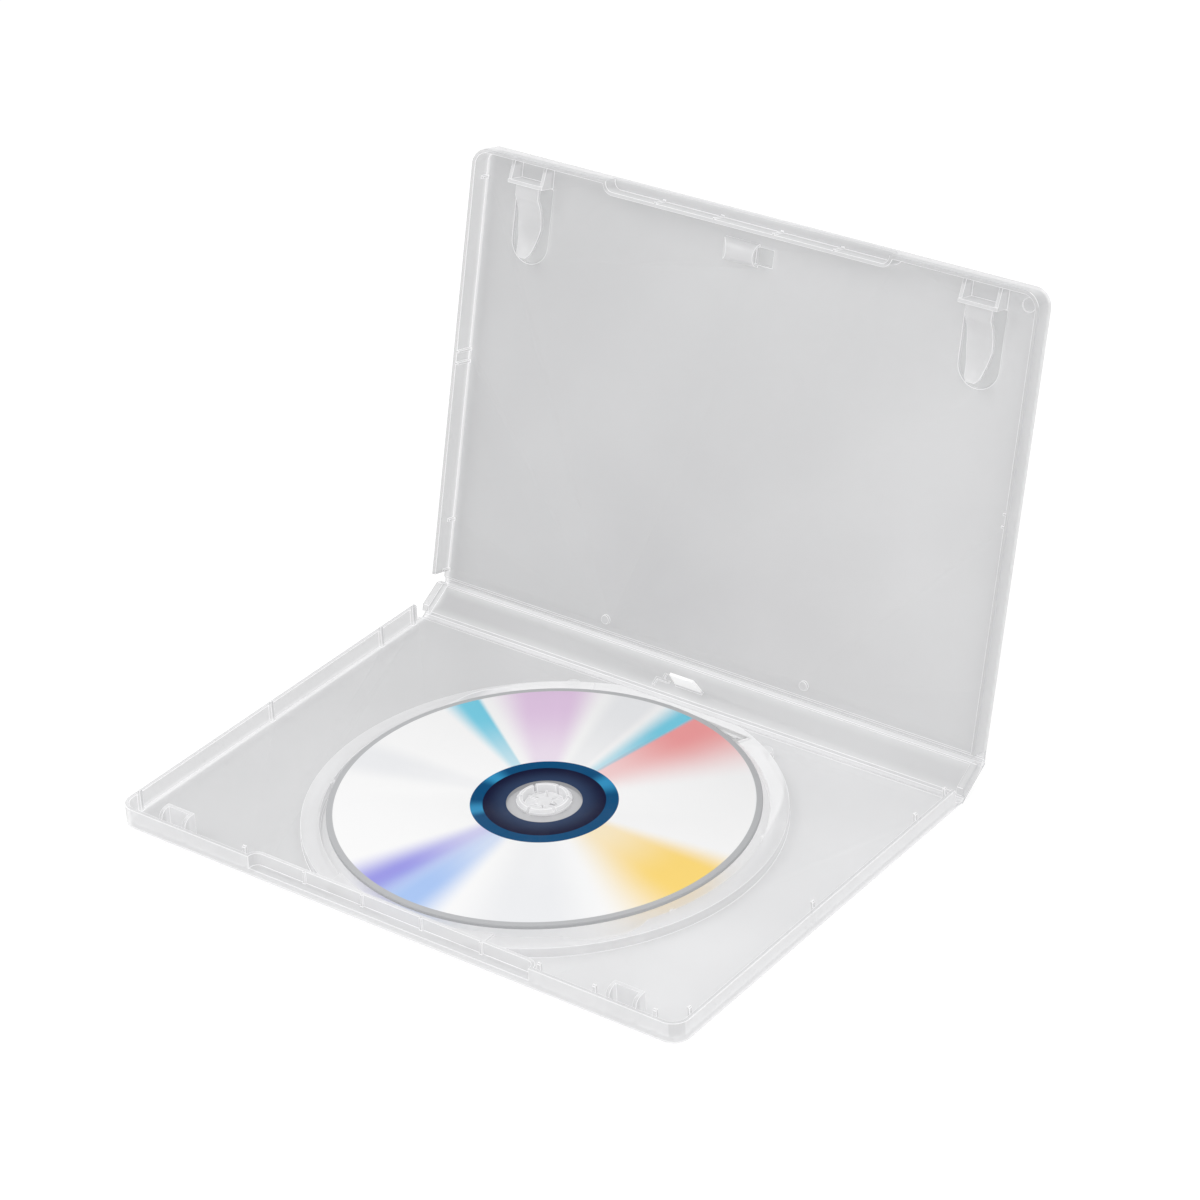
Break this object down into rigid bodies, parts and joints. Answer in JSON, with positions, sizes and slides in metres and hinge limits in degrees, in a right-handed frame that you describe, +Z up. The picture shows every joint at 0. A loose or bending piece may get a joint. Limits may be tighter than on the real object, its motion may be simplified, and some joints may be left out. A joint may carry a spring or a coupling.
{
  "type": "disc storage case",
  "caption": "Frosted plastic keep case for one disc, standing open: tray with hub and ring, narrow spine, hinged cover with leaflet clips, clear sleeve, and the disc.",
  "frame": {"origin": "middle of the face that the open case rests on, under the tray", "axes": "+X along the tray's fore-edge, +Y from the fore-edge to the spine, +Z up"},
  "size_m": [0.19, 0.1792, 0.1397],
  "materials": {
    "frosted_plastic": "frosted, milky, light passes through it",
    "film": "clear gloss film",
    "disc": "bright silver with soft rainbow sectors and a blue band at its middle"
  },
  "bodies": {
    "tray": {"base_tray": "frosted_plastic", "sleeve_back": "film"},
    "spine": {"spine": "frosted_plastic", "sleeve_spine": "film"},
    "cover": {"front_cover": "frosted_plastic", "sleeve_front": "film"},
    "disc": {"disc": "disc"},
    "button": {"hub_button": "frosted_plastic"}
  },
  "joints": [
    {"name": "spine_hinge", "type": "hinge", "parent": "tray", "child": "spine", "pos_m": [0, 0.0675, 0.00035], "axis": [1, 0, 0], "range_deg": [-30, 60]},
    {"name": "cover_hinge", "type": "hinge", "parent": "spine", "child": "cover", "pos_m": [0, 0.07902, 0.007], "axis": [1, 0, 0], "range_deg": [-46, 44]},
    {"name": "disc_spin", "type": "hinge", "parent": "tray", "child": "disc", "pos_m": [0.0032, -0.0016, 0.00505], "axis": [0, 0, 1], "continuous": true},
    {"name": "button_press", "type": "slide", "parent": "tray", "child": "button", "axis": [0, 0, -1], "range_m": [0, 0.0014], "stiffness_N_per_m": 400}
  ]
}
